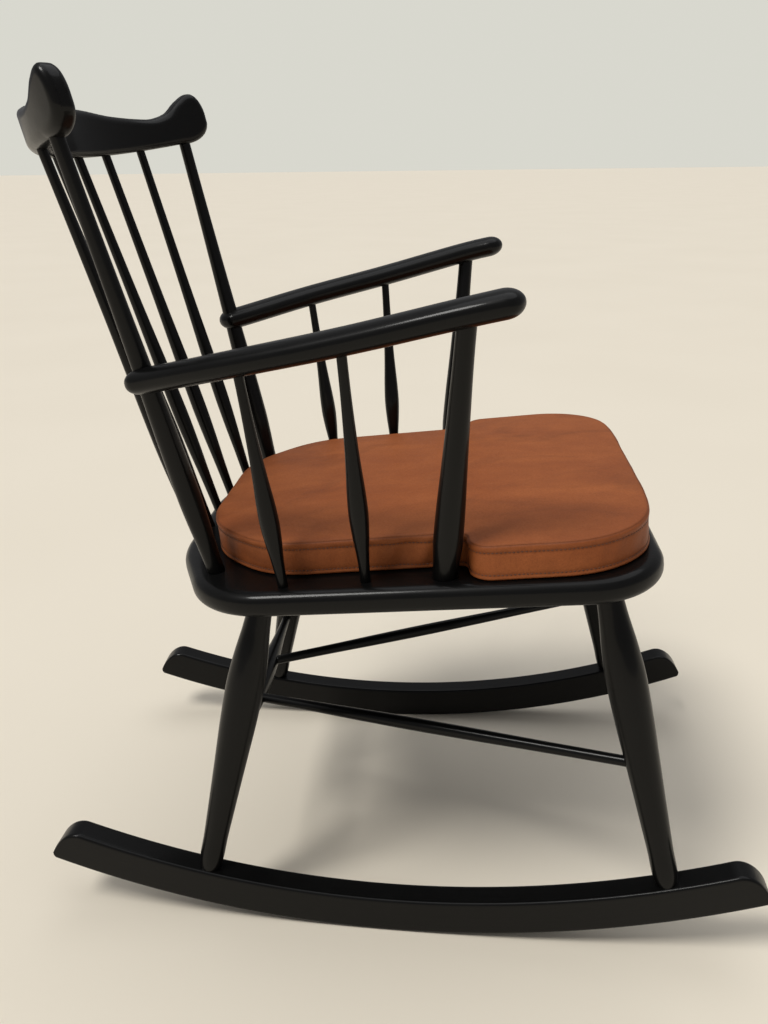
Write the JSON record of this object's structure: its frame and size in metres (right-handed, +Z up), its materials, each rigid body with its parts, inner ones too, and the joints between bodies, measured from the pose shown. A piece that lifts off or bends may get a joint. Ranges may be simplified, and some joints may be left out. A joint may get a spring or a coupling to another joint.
{
  "type": "rocking chair",
  "caption": "Spindle-back wooden rocking chair with a shaped crest rail, armrests, turned legs on curved rockers and a loose T-shaped leather seat cushion.",
  "frame": {"origin": "on the floor, under the middle of the chair's bounding box", "axes": "+Z up, -Y towards the front of the chair, where the sitter faces, +X to the sitter's left"},
  "size_m": [0.5382, 0.7843, 0.8809],
  "materials": {
    "black_lacquer": "satin",
    "cognac_leather": "satin",
    "cushion_foam": "matte",
    "zip_tape": "matte"
  },
  "bodies": {
    "chair": {"seat": "black_lacquer", "crest_rail": "black_lacquer", "back_post_left": "black_lacquer", "back_post_right": "black_lacquer", "back_spindle_1": "black_lacquer", "back_spindle_2": "black_lacquer", "back_spindle_3": "black_lacquer", "back_spindle_4": "black_lacquer", "back_spindle_5": "black_lacquer", "back_spindle_6": "black_lacquer", "arm_left": "black_lacquer", "arm_right": "black_lacquer", "arm_post_left": "black_lacquer", "arm_post_right": "black_lacquer", "arm_spindle_left_1": "black_lacquer", "arm_spindle_left_2": "black_lacquer", "arm_spindle_right_1": "black_lacquer", "arm_spindle_right_2": "black_lacquer", "front_leg_left": "black_lacquer", "front_leg_right": "black_lacquer", "rear_leg_left": "black_lacquer", "rear_leg_right": "black_lacquer", "rear_stretcher": "black_lacquer", "diagonal_stretcher_left": "black_lacquer", "diagonal_stretcher_right": "black_lacquer", "rocker_left": "black_lacquer", "rocker_right": "black_lacquer"},
    "cushion": {"cushion_cover": "cognac_leather", "cushion_foam": "cushion_foam", "cushion_zip": "zip_tape"}
  },
  "joints": [
    {"name": "cushion_lift", "type": "slide", "parent": "chair", "child": "cushion", "axis": [0, 0, 1], "range_m": [0, 0.3]}
  ]
}
